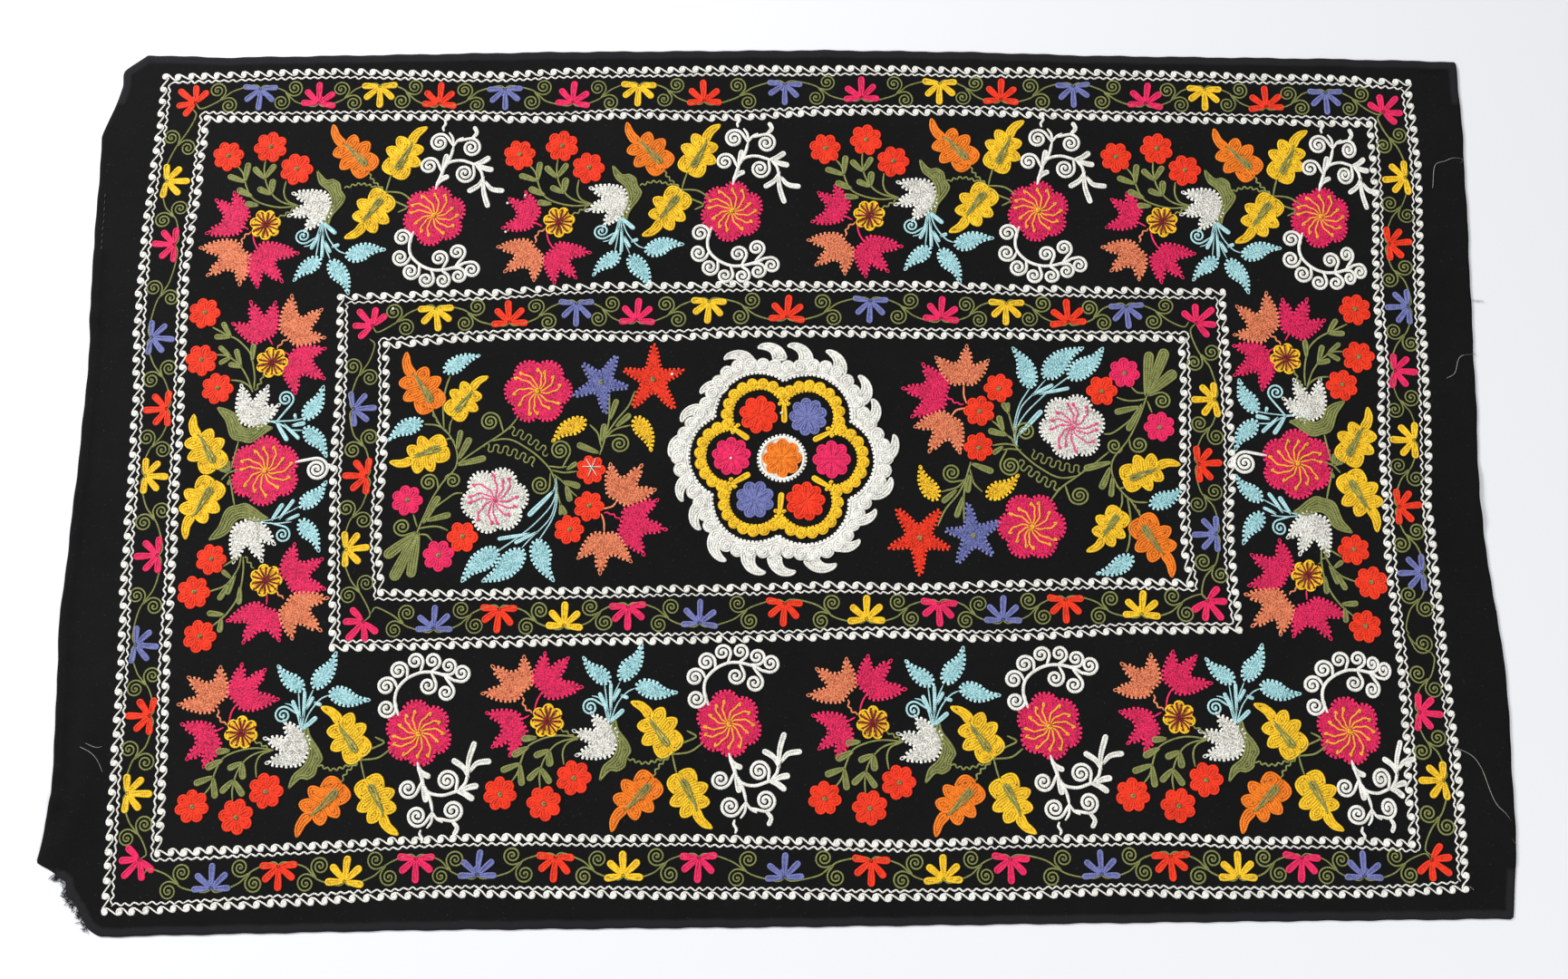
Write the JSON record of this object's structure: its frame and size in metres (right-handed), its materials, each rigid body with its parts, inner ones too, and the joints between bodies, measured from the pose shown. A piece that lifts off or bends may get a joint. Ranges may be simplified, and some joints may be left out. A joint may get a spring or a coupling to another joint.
{
  "type": "suzani embroidered textile",
  "caption": "Rectangular black cotton hanging with raised chain-stitch flowers, leaves, scroll borders and a hooked medallion, lying flat.",
  "frame": {"origin": "middle of the rectangle round the cloth's outline, on the plane that its underside lies on", "axes": "+X along the long side to the right, +Y up the cloth towards its top edge as it hangs, +Z out of the embroidered face"},
  "size_m": [2.043, 1.296, 0.0052],
  "materials": {
    "ground_cotton": "plain-woven black cotton, matt, with wool-like chain-stitch embroidery standing proud of its face"
  },
  "bodies": {
    "root": {"ground_cloth": "ground_cotton"}
  },
  "joints": []
}
